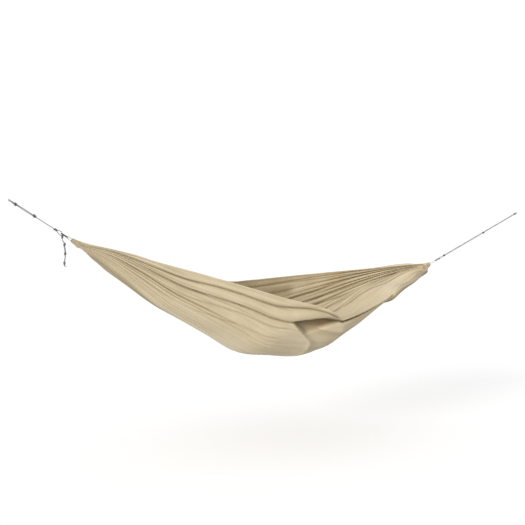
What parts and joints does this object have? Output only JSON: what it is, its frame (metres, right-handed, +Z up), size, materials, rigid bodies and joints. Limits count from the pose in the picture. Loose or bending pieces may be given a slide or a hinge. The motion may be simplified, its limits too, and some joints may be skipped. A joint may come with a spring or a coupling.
{
  "type": "hammock",
  "caption": "Gathered-end cloth hammock hung between two knotted cords, with a snap hook and a loop of pale cord at each end and a knotted tail below the left hook.",
  "frame": {"origin": "the bight at the end of the left suspension cord, where the left anchor holds it", "axes": "+X along the hammock from the left anchor to the right anchor, which is level with it at [3.42, 0, 0]; +Z up; -Y is the near side, whose rim hangs lower"},
  "size_m": [3.4214, 0.8099, 0.8137],
  "materials": {
    "cloth": "matt sand-coloured light plain weave",
    "hem": "matt rolled and stitched hem of the same cloth",
    "cord": "dark grey braided cord",
    "end_loop": "pale grey braided cord",
    "hook": "dark anodised",
    "rivet": "satin"
  },
  "bodies": {
    "anchors": {"left_anchor_eye": "cord", "right_anchor_eye": "cord"},
    "hammock": {"bed_cloth": "cloth", "near_edge_hem": "hem", "far_edge_hem": "hem", "left_gather": "cloth", "right_gather": "cloth", "left_end_loop": "end_loop", "right_end_loop": "end_loop", "left_hook_body": "hook", "left_hook_pin": "rivet", "right_hook_body": "hook", "right_hook_pin": "rivet", "left_knot_1": "cord", "left_cord_1_upper": "cord", "left_cord_1_lower": "cord", "left_knot_2": "cord", "left_cord_2_upper": "cord", "left_cord_2_lower": "cord", "left_knot_3": "cord", "left_hook_loop_upper": "cord", "left_hook_loop_lower": "cord", "left_knot_4": "cord", "right_hook_bight": "cord", "right_knot_1": "cord", "right_cord_1_upper": "cord", "right_cord_1_lower": "cord", "right_knot_2": "cord", "right_cord_2_upper": "cord", "right_cord_2_lower": "cord", "right_knot_3": "cord"},
    "left_gate": {"left_hook_gate": "hook"},
    "right_gate": {"right_hook_gate": "hook"},
    "left_tail": {"left_tail_cord_1": "cord", "left_tail_knot_1": "cord", "left_tail_cord_2": "cord", "left_tail_knot_2": "cord", "left_tail_cord_3": "cord", "left_tail_knot_3": "cord", "left_tail_stub": "cord"}
  },
  "joints": [
    {"name": "swing", "type": "hinge", "parent": "anchors", "child": "hammock", "pos_m": [0.02103, 0, -0.01317], "axis": [1, 0, 0.0024], "range_deg": [-30, 30]},
    {"name": "left_gate_hinge", "type": "hinge", "parent": "hammock", "child": "left_gate", "pos_m": [0.25473, 0.008, -0.15954], "axis": [0.5308, 0, 0.8475], "range_deg": [0, 24], "stiffness_Nm_per_rad": 0.04, "springref_deg": -8.59},
    {"name": "right_gate_hinge", "type": "hinge", "parent": "hammock", "child": "right_gate", "pos_m": [2.64325, -0.008, -0.30922], "axis": [-0.3699, 0, 0.9291], "range_deg": [0, 24], "stiffness_Nm_per_rad": 0.04, "springref_deg": -8.59},
    {"name": "left_tail_swing", "type": "hinge", "parent": "hammock", "child": "left_tail", "pos_m": [0.23872, 0, -0.17764], "axis": [0, 1, 0], "range_deg": [-35, 65]}
  ]
}
